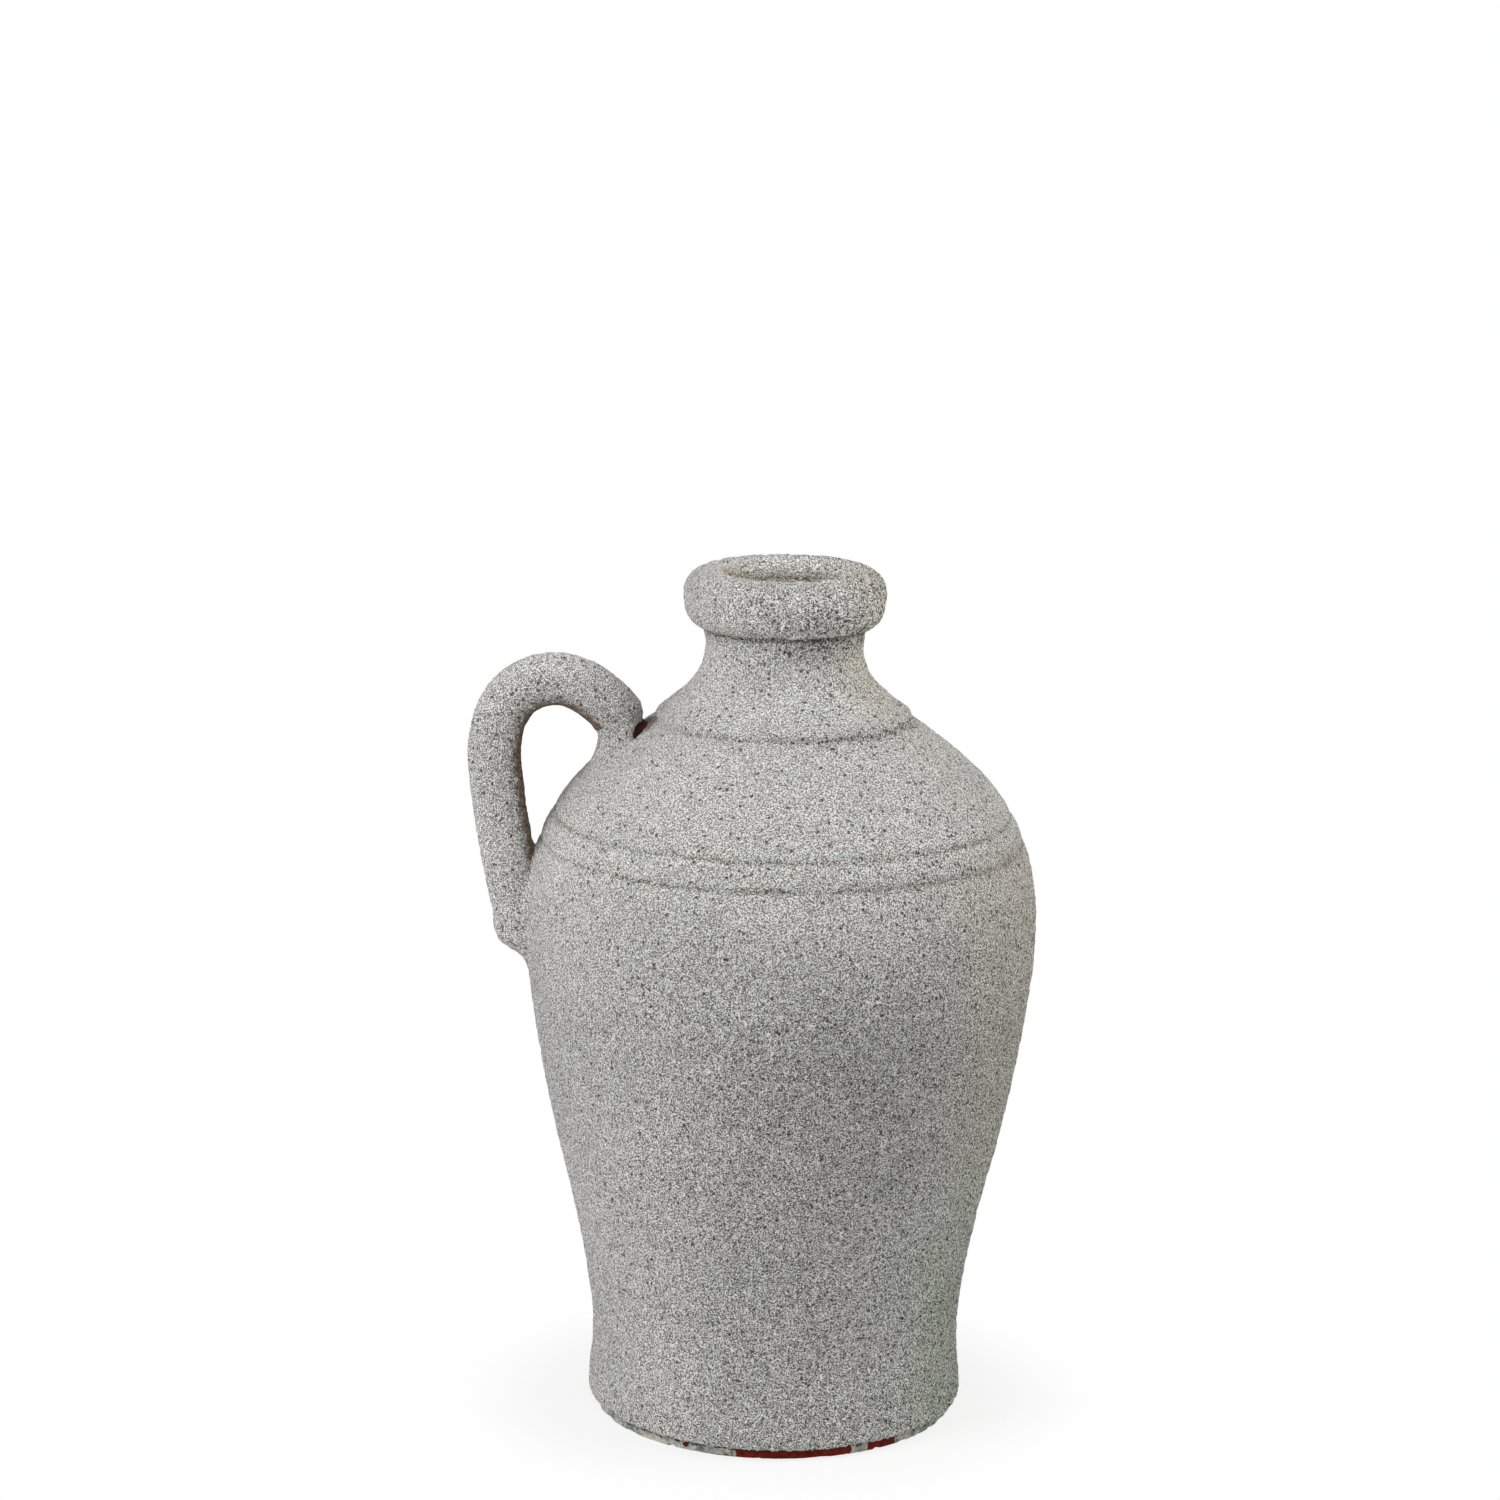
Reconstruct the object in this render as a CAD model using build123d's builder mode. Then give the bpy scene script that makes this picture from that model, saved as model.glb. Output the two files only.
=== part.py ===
"""A one-handled terracotta jug with a rolled lip and a gritty grey coat.

Millimetres, +Z up. The origin is the middle of the face that the jug stands on. The handle
lies in the XZ plane, on the -X side. The clay was thrown and rolled as separate pieces, luted
together, and the whole jug was then coated with grit down to just above its foot.
"""
import os

from build123d import *

os.makedirs("parts", exist_ok=True)

# Walls: the grit coat, the clay under it and the floor
coat_thickness = 1.2
wall_thickness = 6.4
floor_thickness = 9.0

# Foot: the bare clay edge that the coat leaves free
foot_radius = 63.8
foot_edge_height = 3.8
foot_chamfer = 0.9
coat_edge_radius = 66.2

# Body on its coat: the heel above the foot, the widest ring and the foot of the neck
heel_rise = 12.0
heel_radius = 65.4
belly_rise = 163.4
belly_radius = 89.2
shoulder_rise = 69.2
skirt_radius = 44.8

# Two turned grooves, the lower one placed above the widest ring
groove_rise = 26.4
groove_spacing = 9.2
groove_width = 3.0
groove_depth = 0.9

# Neck with its narrowest ring, and the rolled lip
neck_rise = 25.7
neck_radius = 27.3
flare_rise = 6.5
lip_root_radius = 28.9
lip_height = 19.4
lip_radius = 34.9

# Handle: one roll, its seats on the shoulder and the belly, and its arch
handle_thickness = 18.5
root_drop = 5.7
root_stand = 8.6
tail_drop = 4.0
tail_stand = 1.9
handle_reach = 10.8
grip_drop = 17.9
arch_rise = 10.3

# One overrun for every cut
overrun = 2.0

# Outline shapes, as shares of the rise and of the change in radius between two places
belly_shares = ((0.129, 0.05), (0.563, 0.604), (0.858, 0.997))
shoulder_shares = ((0.552, 0.245), (0.724, 0.463))
neck_shares = ((0.182, 0.034), (0.628, 0.45), (0.889, 0.894))
# Lip section, as shares of its height and of its width from the throat to the rim
crest_share = 0.376
rim_shares = ((0.947, 0.697), (0.507, 1.003), (0.34, 0.974))
mouth_foot_share = 0.62
mouth_shares = ((0.894, 0.106),)
# Places of the handle's centre line, as shares of the rise and reach from one to the next
grip_shares = ((0.15, 0.112),)
arch_shares = ((0.575, 0.055),)
arch_reach_share = 0.699
# Smeared clay round each end, in radii of the roll: stand, shift, half length, half width
root_wad_shares = ((-0.54, 0.80, 1.98, 1.48), (0.34, 0.30, 1.09, 1.10), (0.86, 0.0, 0.85, 0.85))
tail_wad_shares = ((-0.34, -0.24, 1.94, 1.25), (0.22, -0.22, 1.44, 1.04), (0.60, -0.05, 0.88, 0.83))

# Heights that follow from the rises
heel_height = foot_edge_height + heel_rise
belly_height = heel_height + belly_rise
skirt_height = belly_height + shoulder_rise
neck_height = skirt_height + neck_rise
lip_root_height = neck_height + flare_rise
lip_top_height = lip_root_height + lip_height
seam_height = belly_height + groove_rise
upper_groove_height = seam_height + groove_spacing

groove_radius = (groove_depth + (groove_width / 2) ** 2 / groove_depth) / 2
cavity_depth = coat_thickness + wall_thickness
throat_radius = neck_radius - cavity_depth
roll_radius = handle_thickness / 2
up, down, outward, inward = (0, 1), (0, -1), (1, 0), (-1, 0)


def between(start, end, shares):
    """Points placed by their shares of the rise and of the reach between two others."""
    return [
        (start[0] + (end[0] - start[0]) * reach, start[1] + (end[1] - start[1]) * rise)
        for rise, reach in shares
    ]


def arcs_through(places, direction):
    """A smooth run of arcs through places, setting off in a direction."""
    arcs = []
    for start, end in zip(places, places[1:]):
        arcs.append(TangentArc(start, end, tangent=direction))
        direction = arcs[-1] % 1
    return arcs


def turned_round(arcs):
    """The same run of arcs, from its other end."""
    return [ThreePointArc(arc @ 1, arc @ 0.5, arc @ 0) for arc in reversed(arcs)]


# Half section of the jug on its coat: x is the radius and y is the height
coat_edge = (coat_edge_radius, foot_edge_height)
heel = (heel_radius, heel_height)
widest = (belly_radius, belly_height)
skirt = (skirt_radius, skirt_height)
narrowest = (neck_radius, neck_height)
lip_root = (lip_root_radius, lip_root_height)
lip_inside = (throat_radius, lip_root_height)
lip_outside = (lip_radius, lip_top_height)
(crest,) = between(lip_inside, lip_outside, ((1, crest_share),))
(mouth_foot,) = between(lip_inside, lip_outside, ((mouth_foot_share, 0),))
rim_places = between(lip_inside, lip_outside, rim_shares)
mouth_places = between(lip_inside, lip_outside, mouth_shares)

belly_arcs = turned_round(
    arcs_through((widest, *between(widest, heel, belly_shares), heel, coat_edge), down)
)
shoulder_arcs = arcs_through((widest, *between(widest, skirt, shoulder_shares), skirt), up)
neck_arcs = turned_round(
    arcs_through((narrowest, *between(narrowest, skirt, neck_shares), skirt), down)
)
flare_arcs = arcs_through((narrowest, lip_root), up)
rim_arcs = turned_round(arcs_through((crest, *rim_places, lip_root), outward))
mouth_arcs = arcs_through((crest, *mouth_places, mouth_foot), inward)


def sunk(arc, depth, shares=(0, 0.5, 1)):
    """An arc, or a stretch of it, moved under its surface by an even depth."""
    return ThreePointArc(
        *(arc @ share + (arc % share).rotate(Axis.Z, 90) * depth for share in shares)
    )


def ring_on(arcs, height):
    """Where a run of arcs passes a height on its way up, and its outward normal there."""
    for arc in arcs:
        if (arc @ 0).Y <= height <= (arc @ 1).Y:
            point = Vector(*arc.intersect(Axis((0, height, 0), (1, 0, 0)))[0])
            normal = (arc % arc.param_at_point(point)).rotate(Axis.Z, -90)
    return point, normal


grooves = [ring_on(shoulder_arcs, height) for height in (seam_height, upper_groove_height)]


def jug_form(depth):
    """The jug's whole outer form, sunk by a depth under its coat and solid inside."""
    with BuildPart() as form:
        with BuildSketch(Plane.XZ):
            with BuildLine():
                body = [sunk(arc, depth) for arc in belly_arcs + shoulder_arcs]
                neck = [sunk(arc, depth) for arc in neck_arcs + flare_arcs]
                lip = [sunk(arc, depth) for arc in rim_arcs + mouth_arcs]
                if depth:
                    Line(body[-1] @ 1, neck[0] @ 0)
                    Line(neck[-1] @ 1, lip[0] @ 0)
                Polyline(
                    lip[-1] @ 1,
                    (0, (lip[-1] @ 1).Y),
                    (0, 0),
                    (foot_radius - foot_chamfer, 0),
                    (foot_radius, foot_chamfer),
                    body[0] @ 0,
                )
            make_face()
            for point, normal in grooves:
                with Locations(point + normal * (groove_radius - groove_depth - depth)):
                    Circle(groove_radius, mode=Mode.SUBTRACT)
        revolve(axis=Axis.Z)
    return form.part


def cavity_form():
    """The space inside: a round-cornered bowl, even walls and the straight throat.

    The small arc at the neck's foot is left out, because it is too tight for the wall's depth.
    """
    waist_arc, *wall_arcs = belly_arcs[1:] + shoulder_arcs
    with BuildPart() as form:
        with BuildSketch(Plane.XZ):
            with BuildLine():
                waist = sunk(waist_arc, cavity_depth, shares=(0.5, 0.75, 1))
                wall = [sunk(arc, cavity_depth) for arc in wall_arcs]
                collar = [sunk(arc, cavity_depth) for arc in neck_arcs[1:]]
                Line(wall[-1] @ 1, collar[0] @ 0)
                floor_edge = ((waist @ 0).X - (waist @ 0).Y + floor_thickness, floor_thickness)
                TangentArc(floor_edge, waist @ 0, tangent=outward)
                Polyline(
                    collar[-1] @ 1,
                    (throat_radius, lip_top_height + overrun),
                    (0, lip_top_height + overrun),
                    (0, floor_thickness),
                    floor_edge,
                )
            make_face()
        revolve(axis=Axis.Z)
    return form.part


def beside(vector):
    """A point or a direction of the half section, in space on the handle's side."""
    return Vector(-vector.X, 0, vector.Y)


# Handle's centre line, from its tail on the belly up and over to its root on the shoulder
root_seat, root_normal = ring_on(shoulder_arcs, skirt_height - root_drop)
tail_seat, tail_normal = ring_on(belly_arcs, belly_height - tail_drop)
root = root_seat + root_normal * root_stand
tail = tail_seat + tail_normal * tail_stand
grip = Vector(belly_radius + handle_reach, root.Y - grip_drop)
arch = Vector(grip.X + (root.X - grip.X) * arch_reach_share, root.Y + arch_rise)


def path_between(start, end, shares):
    """Points of the handle's centre line between two of its places."""
    return [Vector(*point) for point in between((start.X, start.Y), (end.X, end.Y), shares)]


centre_places = [
    tail,
    *path_between(tail, grip, grip_shares),
    grip,
    *path_between(grip, arch, arch_shares),
    arch,
    root,
]
handle_path = Wire(arcs_through([beside(place) for place in centre_places], (0, 0, 1)))
root_plane = Plane(
    beside(root_seat), x_dir=beside(root_normal.rotate(Axis.Z, -90)), z_dir=beside(root_normal)
)
tail_plane = Plane(
    beside(tail_seat), x_dir=beside(tail_normal.rotate(Axis.Z, -90)), z_dir=beside(tail_normal)
)


def roll_form(depth):
    """The handle's roll with its round ends, sunk by a depth under its coat."""
    with BuildPart() as form:
        with BuildSketch(Plane(handle_path @ 0, z_dir=handle_path % 0)):
            Circle(roll_radius - depth)
        sweep(path=handle_path)
        with Locations(handle_path @ 0, handle_path @ 1):
            Sphere(roll_radius - depth)
    return form.part


def wad_form(seat, shares, depth):
    """Clay smeared round an end of the handle, sunk by a depth under its coat."""
    with BuildPart() as form:
        for stand, shift, half_length, half_width in shares:
            with BuildSketch(seat.offset(stand * roll_radius)):
                with Locations((shift * roll_radius, 0)):
                    Ellipse(half_length * roll_radius - depth, half_width * roll_radius - depth)
        loft()
    return form.part


clay_form = jug_form(coat_thickness)
coat_form = jug_form(0)
cavity = cavity_form()
roll_clay = roll_form(coat_thickness)
roll_coat = roll_form(0)
root_clay = wad_form(root_plane, root_wad_shares, coat_thickness)
tail_clay = wad_form(tail_plane, tail_wad_shares, coat_thickness)
handle_clay = (roll_clay, root_clay, tail_clay)


def keep_between(low, high):
    """Cuts the part in hand down to what lies between two heights."""
    split(bisect_by=Plane.XY.offset(low), keep=Keep.TOP)
    split(bisect_by=Plane.XY.offset(high), keep=Keep.BOTTOM)


with BuildPart() as foot_slab:
    add(clay_form)
    split(bisect_by=Plane.XY.offset(floor_thickness), keep=Keep.BOTTOM)
foot_slab.part.label = "foot_slab"
export_step(foot_slab.part, "parts/foot_slab.step")

with BuildPart() as belly_wall:
    add(clay_form)
    add(cavity, mode=Mode.SUBTRACT)
    keep_between(floor_thickness, seam_height)
belly_wall.part.label = "belly_wall"
export_step(belly_wall.part, "parts/belly_wall.step")

with BuildPart() as shoulder_dome:
    add(clay_form)
    add(cavity, mode=Mode.SUBTRACT)
    keep_between(seam_height, skirt_height)
shoulder_dome.part.label = "shoulder_dome"
export_step(shoulder_dome.part, "parts/shoulder_dome.step")

with BuildPart() as neck_collar:
    add(clay_form)
    add(cavity, mode=Mode.SUBTRACT)
    keep_between(skirt_height, lip_root_height)
neck_collar.part.label = "neck_collar"
export_step(neck_collar.part, "parts/neck_collar.step")

with BuildPart() as lip_roll:
    add(clay_form)
    add(cavity, mode=Mode.SUBTRACT)
    split(bisect_by=Plane.XY.offset(lip_root_height), keep=Keep.TOP)
lip_roll.part.label = "lip_roll"
export_step(lip_roll.part, "parts/lip_roll.step")

with BuildPart() as handle_roll:
    add(roll_clay)
    add(clay_form, mode=Mode.SUBTRACT)
handle_roll.part.label = "handle_roll"
export_step(handle_roll.part, "parts/handle_roll.step")

with BuildPart() as handle_root_wad:
    add(root_clay)
    add((roll_clay, clay_form), mode=Mode.SUBTRACT)
handle_root_wad.part.label = "handle_root_wad"
export_step(handle_root_wad.part, "parts/handle_root_wad.step")

with BuildPart() as handle_tail_wad:
    add(tail_clay)
    add((roll_clay, clay_form), mode=Mode.SUBTRACT)
handle_tail_wad.part.label = "handle_tail_wad"
export_step(handle_tail_wad.part, "parts/handle_tail_wad.step")

with BuildPart() as belly_coat:
    add(coat_form)
    keep_between(foot_edge_height, seam_height)
    add((clay_form, *handle_clay), mode=Mode.SUBTRACT)
belly_coat.part.label = "belly_coat"
export_step(belly_coat.part, "parts/belly_coat.step")

with BuildPart() as shoulder_coat:
    add(coat_form)
    keep_between(seam_height, skirt_height)
    add((clay_form, *handle_clay), mode=Mode.SUBTRACT)
shoulder_coat.part.label = "shoulder_coat"
export_step(shoulder_coat.part, "parts/shoulder_coat.step")

with BuildPart() as neck_coat:
    add(coat_form)
    keep_between(skirt_height, lip_root_height)
    add((clay_form, *handle_clay), mode=Mode.SUBTRACT)
neck_coat.part.label = "neck_coat"
export_step(neck_coat.part, "parts/neck_coat.step")

with BuildPart() as lip_coat:
    add(coat_form)
    add((clay_form, cavity), mode=Mode.SUBTRACT)
    split(bisect_by=Plane.XY.offset(lip_root_height), keep=Keep.TOP)
lip_coat.part.label = "lip_coat"
export_step(lip_coat.part, "parts/lip_coat.step")

with BuildPart() as handle_coat:
    add(roll_coat)
    add((coat_form, *handle_clay), mode=Mode.SUBTRACT)
handle_coat.part.label = "handle_coat"
export_step(handle_coat.part, "parts/handle_coat.step")

with BuildPart() as root_coat:
    add(wad_form(root_plane, root_wad_shares, 0))
    add((coat_form, roll_coat, *handle_clay), mode=Mode.SUBTRACT)
root_coat.part.label = "root_coat"
export_step(root_coat.part, "parts/root_coat.step")

with BuildPart() as tail_coat:
    add(wad_form(tail_plane, tail_wad_shares, 0))
    add((coat_form, roll_coat, *handle_clay), mode=Mode.SUBTRACT)
tail_coat.part.label = "tail_coat"
export_step(tail_coat.part, "parts/tail_coat.step")
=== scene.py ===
"""Looks of a one-handled jug: gritty coat, rolled lip, handle and bare foot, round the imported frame.

Shapes are worked out in millimetres and turned into metres when a mesh is made. The axis of the
jug is Z and the handle is on the -X side, as in the frame. Outlines are pairs of radius and height.
Azimuths are degrees round the axis: 0 faces the photograph's camera, and they grow to its right.
"""
import math

import bpy
import numpy as np
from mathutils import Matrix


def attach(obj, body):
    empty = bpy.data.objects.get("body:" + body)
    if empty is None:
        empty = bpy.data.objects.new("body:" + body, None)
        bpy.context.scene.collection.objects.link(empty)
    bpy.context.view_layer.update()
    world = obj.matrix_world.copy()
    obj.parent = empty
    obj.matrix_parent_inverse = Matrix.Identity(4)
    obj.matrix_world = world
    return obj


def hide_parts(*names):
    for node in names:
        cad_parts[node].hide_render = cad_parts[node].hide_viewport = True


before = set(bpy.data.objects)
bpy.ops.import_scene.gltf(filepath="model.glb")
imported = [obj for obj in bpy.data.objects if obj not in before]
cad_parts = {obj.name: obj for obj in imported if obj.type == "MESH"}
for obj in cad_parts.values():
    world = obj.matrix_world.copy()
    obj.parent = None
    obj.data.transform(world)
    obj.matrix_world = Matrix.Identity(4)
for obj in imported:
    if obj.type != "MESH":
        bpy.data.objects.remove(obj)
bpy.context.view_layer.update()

import openvdb
from mathutils import Matrix, Vector

MM = 0.001

# Outline of the coat, the same places and shares as the part's own
COAT_EDGE = (66.2, 3.8)
HEEL = (65.4, 15.8)
WIDEST = (89.2, 179.2)
SKIRT = (44.8, 248.4)
NARROWEST = (27.3, 274.1)
LIP_ROOT = (28.9, 280.6)
LIP_INSIDE = (19.7, 280.6)
LIP_OUTSIDE = (34.9, 300.0)
BELLY_SHARES = ((0.129, 0.05), (0.563, 0.604), (0.858, 0.997))
SHOULDER_SHARES = ((0.552, 0.245), (0.724, 0.463))
NECK_SHARES = ((0.182, 0.034), (0.628, 0.45), (0.889, 0.894))
CREST_SHARE = (1, 0.376)
RIM_SHARES = ((0.947, 0.697), (0.507, 1.003), (0.34, 0.974))
MOUTH_SHARES = ((0.894, 0.106),)
MOUTH_FOOT_SHARE = (0.62, 0)
UP, DOWN, OUTWARD, INWARD = (0, 1), (0, -1), (1, 0), (-1, 0)

# Handle, also as in the part: its roll, its seats, its centre line and the clay smeared round its ends
ROLL = 9.25
ROOT_HEIGHT, ROOT_STAND = 242.7, 8.6
TAIL_HEIGHT, TAIL_STAND = 175.2, 1.9
REACH, GRIP_DROP, ARCH_RISE, ARCH_REACH_SHARE = 10.8, 17.9, 10.3, 0.699
GRIP_SHARES = ((0.15, 0.112),)
ARCH_SHARES = ((0.575, 0.055),)
ROOT_WAD = ((-0.54, 0.80, 1.98, 1.48), (0.34, 0.30, 1.09, 1.10), (0.86, 0.0, 0.85, 0.85))
TAIL_WAD = ((-0.34, -0.24, 1.94, 1.25), (0.22, -0.22, 1.44, 1.04), (0.60, -0.05, 0.88, 0.83))

# Radii and a height that tell one stretch of the coat from another
BODY_BEYOND, NECK_WITHIN, NECK_BEYOND = 60, 47, 26
THROAT_WITHIN, THROAT_ABOVE = 25, 250

# Fineness of the meshes: steps along an outline, columns round the axis, and the handle's voxels
STEP, COLUMNS = 0.55, 1000
FOOT_STEP, FOOT_COLUMNS = 0.45, 900
VOXEL = 0.6


# Outlines
def between(start, end, shares):
    """Places set by their shares of the rise and of the reach between two others."""
    return [(start[0] + (end[0] - start[0]) * b, start[1] + (end[1] - start[1]) * a) for a, b in shares]


def arcs_through(places, direction):
    """A smooth run of arcs through places, each as its centre, radius, first angle and sweep."""
    arcs = []
    ahead = np.array(direction, float)
    for start, end in zip(places, places[1:]):
        start, chord = np.array(start), np.array(end) - np.array(start)
        left = np.array([-ahead[1], ahead[0]])
        radius = chord @ chord / (2 * chord @ left)
        centre = start + left * radius
        sweep = 2 * math.atan2(chord @ left, chord @ ahead)
        first = math.atan2(*(start - centre)[::-1])
        arcs.append((centre, abs(radius), first, sweep))
        turn = np.array([[math.cos(sweep), -math.sin(sweep)], [math.sin(sweep), math.cos(sweep)]])
        ahead = turn @ ahead
    return arcs


def line_on(arcs, step=0.2):
    """Dense points along a run of arcs."""
    runs = []
    for centre, radius, first, sweep in arcs:
        angle = first + sweep * np.linspace(0, 1, int(abs(sweep) * radius / step) + 2)
        runs.append(centre + radius * np.stack([np.cos(angle), np.sin(angle)], axis=1))
    return np.concatenate([runs[0][:1]] + [run[1:] for run in runs])


(CREST,) = between(LIP_INSIDE, LIP_OUTSIDE, (CREST_SHARE,))
(MOUTH_FOOT,) = between(LIP_INSIDE, LIP_OUTSIDE, (MOUTH_FOOT_SHARE,))
belly = line_on(arcs_through((WIDEST, *between(WIDEST, HEEL, BELLY_SHARES), HEEL, COAT_EDGE), DOWN))[::-1]
shoulder = line_on(arcs_through((WIDEST, *between(WIDEST, SKIRT, SHOULDER_SHARES), SKIRT), UP))
neck = line_on(arcs_through((NARROWEST, *between(NARROWEST, SKIRT, NECK_SHARES), SKIRT), DOWN))[::-1]
flare = line_on(arcs_through((NARROWEST, LIP_ROOT), UP))
rim_places = between(LIP_INSIDE, LIP_OUTSIDE, RIM_SHARES)
rim = line_on(arcs_through((CREST, *rim_places, LIP_ROOT), OUTWARD))[::-1]
mouth = line_on(arcs_through((CREST, *between(LIP_INSIDE, LIP_OUTSIDE, MOUTH_SHARES), MOUTH_FOOT), INWARD))
wall = np.concatenate([belly, shoulder[1:], neck[1:], flare[1:]])
wall_slope = np.gradient(wall[:, 0]) / np.maximum(np.gradient(wall[:, 1]), 1e-6)


# Seeded noise, fades and azimuths
LATTICE = 64
tables = np.random.default_rng(11).uniform(-1, 1, (4, LATTICE, LATTICE, LATTICE)).astype(np.float32)


def noise(points, size, table=0):
    """Smooth noise from -1 to 1 whose lumps are about one size apart."""
    q = points / size
    base = np.floor(q).astype(int)
    f = q - base
    f = f * f * (3 - 2 * f)
    total = np.zeros(len(points))
    for corner in range(8):
        c = np.array([corner & 1, corner >> 1 & 1, corner >> 2 & 1])
        i = (base + c) % LATTICE
        total += np.prod(np.where(c, f, 1 - f), axis=1) * tables[table][i[:, 0], i[:, 1], i[:, 2]]
    return total


def fade(x, *ends):
    """Share from 0 to 1 through smooth steps, each a pair of where it starts and where it is full."""
    share = 1.0
    for start, full in ends:
        t = np.clip((x - start) / (full - start), 0, 1)
        share = share * t * t * (3 - 2 * t)
    return share


def bump_at(x, middle, width):
    """A bell that is 1 at its middle."""
    return np.exp(-(((x - middle) / width) ** 2))


def blend(ends, share):
    """The value at a share of the way between two."""
    return ends[0] + (ends[1] - ends[0]) * share


# Azimuth of the X axis, which puts 0 on the side of the photograph's camera
AZIMUTH_OF_X = 95


def azimuth(points):
    """Angle round the axis in degrees: 0 faces the photograph's camera, positive to its right."""
    return (np.degrees(np.arctan2(points[:, 1], points[:, 0])) + AZIMUTH_OF_X + 180) % 360 - 180


# Where the grit is coarse, as fades over height, azimuth or X, and how coarse it is there. A pair is
# for the left and for the right side.
BODY_FADE, LIP_FADE, SIDE_FADES = (205, 150), (270, 284), ((-60, 40), (180, 130))
GRIP_X_FADE, GRIP_HEIGHT_FADE = (-72, -86), (160, 185)
FINEST, COARSE_BODY, COARSE_LIP, COARSE_SIDE, COARSE_GRIP = 0.15, (0.45, 0.85), (0.25, 0.85), 0.25, 0.15

# Relief of the grit: size and rise of its grains, ridges and lumps. A pair is for fine and coarse grit.
GRAIN_SIZE, GRAIN_RISE = 1.5, (0.13, 0.20)
RIDGE_SIZE, RIDGE_RISE, RIDGE_CREST, RIDGE_FLOOR = 2.4, (0.14, 0.99), 0.35, -0.25
LUMP_SIZE, LUMP_RISE = 8.0, 0.10
WAVE_SIZE, WAVE_RISE = 26.0, 0.16


def coarseness(points):
    """How coarse the grit is: 0 on the fine shoulder, 1 low on the body and under the lip."""
    height = points[:, 2]
    side = fade(azimuth(points), *SIDE_FADES)
    body = fade(height, BODY_FADE) * blend(COARSE_BODY, side)
    lip = fade(height, LIP_FADE) * blend(COARSE_LIP, side)
    grip = fade(points[:, 0], GRIP_X_FADE) * fade(height, GRIP_HEIGHT_FADE)
    return np.clip(FINEST + body + lip + COARSE_SIDE * side + COARSE_GRIP * grip, 0, 1)


def relief(points):
    """Height of the grit above the even coat, in millimetres: grains, winding ridges and lumps."""
    coarse = coarseness(points)
    grain = noise(points, GRAIN_SIZE, 0) * blend(GRAIN_RISE, coarse)
    ridges = (RIDGE_CREST - np.abs(noise(points, RIDGE_SIZE, 1))).clip(RIDGE_FLOOR, RIDGE_CREST)
    lumps = noise(points, LUMP_SIZE, 2) * LUMP_RISE + noise(points, WAVE_SIZE, 3) * WAVE_RISE
    return grain + ridges * blend(RIDGE_RISE, coarse) + lumps


# Handle as a distance field. Its blends are rounded by these radii, the tight one under the roll's
# overhang, and the root's coat draws back from the clay uphill.
SMEAR_BLEND, BODY_BLEND, TIGHT_BLEND = 1.6, 3.2, 0.6
OVERHANG, OVERHANG_HEIGHT = (-4.0, 1.0), (220, 232)
DRAW_BACK, DRAW_FADE, DRAW_SLOPE = 2.3, (-2.0, 2.0), 1.1


def seat_on(height):
    """The place on the wall at a height, and its outward normal."""
    i = int(np.searchsorted(wall[:, 1], height))
    tangent = wall[i + 1] - wall[i - 1]
    tangent /= np.linalg.norm(tangent)
    radius = np.interp(height, wall[:, 1], wall[:, 0])
    return np.array([radius, height]), np.array([tangent[1], -tangent[0]])


root_seat, root_normal = seat_on(ROOT_HEIGHT)
tail_seat, tail_normal = seat_on(TAIL_HEIGHT)
root = root_seat + root_normal * ROOT_STAND
tail = tail_seat + tail_normal * TAIL_STAND
grip = np.array([WIDEST[0] + REACH, root[1] - GRIP_DROP])
arch = np.array([grip[0] + (root[0] - grip[0]) * ARCH_REACH_SHARE, root[1] + ARCH_RISE])
up_the_grip, over_the_arch = between(tail, grip, GRIP_SHARES), between(grip, arch, ARCH_SHARES)
centre_arcs = arcs_through((tail, *up_the_grip, grip, *over_the_arch, arch, root), UP)


def off_each_arc(p):
    """For each arc of the handle's centre line, which points lie along it and how far inward of it."""
    q = np.stack([-p[:, 0], p[:, 2]], axis=1)
    for centre, radius, first, sweep in centre_arcs:
        v = q - centre
        along = (np.arctan2(v[:, 1], v[:, 0]) - first) * np.sign(sweep) % (2 * math.pi)
        yield along <= abs(sweep), (radius - np.hypot(v[:, 0], v[:, 1])) * np.sign(sweep)


def roll_distance(p):
    """Distance to the handle's centre line, which lies in the plane of the axis."""
    q = np.stack([-p[:, 0], p[:, 2]], axis=1)
    planar = np.minimum(np.linalg.norm(q - tail, axis=1), np.linalg.norm(q - root, axis=1))
    for beside, inward in off_each_arc(p):
        planar = np.where(beside, np.minimum(planar, np.abs(inward)), planar)
    return np.hypot(planar, p[:, 1])


def inner_side(p):
    """1 on the side of the roll that faces the finger's hole, -1 on the outer side."""
    nearest, side = np.full(len(p), np.inf), np.zeros(len(p))
    for beside, inward in off_each_arc(p):
        better = beside & (np.abs(inward) < nearest)
        nearest, side = np.where(better, np.abs(inward), nearest), np.where(better, inward, side)
    return side / ROLL


def seat_axes(seat, normal):
    """A seat's place, its outward normal and its downhill tangent, in space."""
    place, out = np.array([-seat[0], 0, seat[1]]), np.array([-normal[0], 0, normal[1]])
    return place, out, np.array([-normal[1], 0, -normal[0]])


def wad_distance(p, seat, normal, sections):
    """Rough signed distance to clay smeared round a seat."""
    place, out, downhill = seat_axes(seat, normal)
    q = p - place
    stand = q @ out / ROLL
    stands = [section[0] for section in sections]
    shift, a, b = (np.interp(stand, stands, [section[k] for section in sections]) * ROLL for k in (1, 2, 3))
    flat = (np.sqrt(((q @ downhill - shift) / a) ** 2 + (q[:, 1] / b) ** 2) - 1) * np.minimum(a, b)
    return np.maximum(flat, (stand - stands[-1]) * ROLL)


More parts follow.
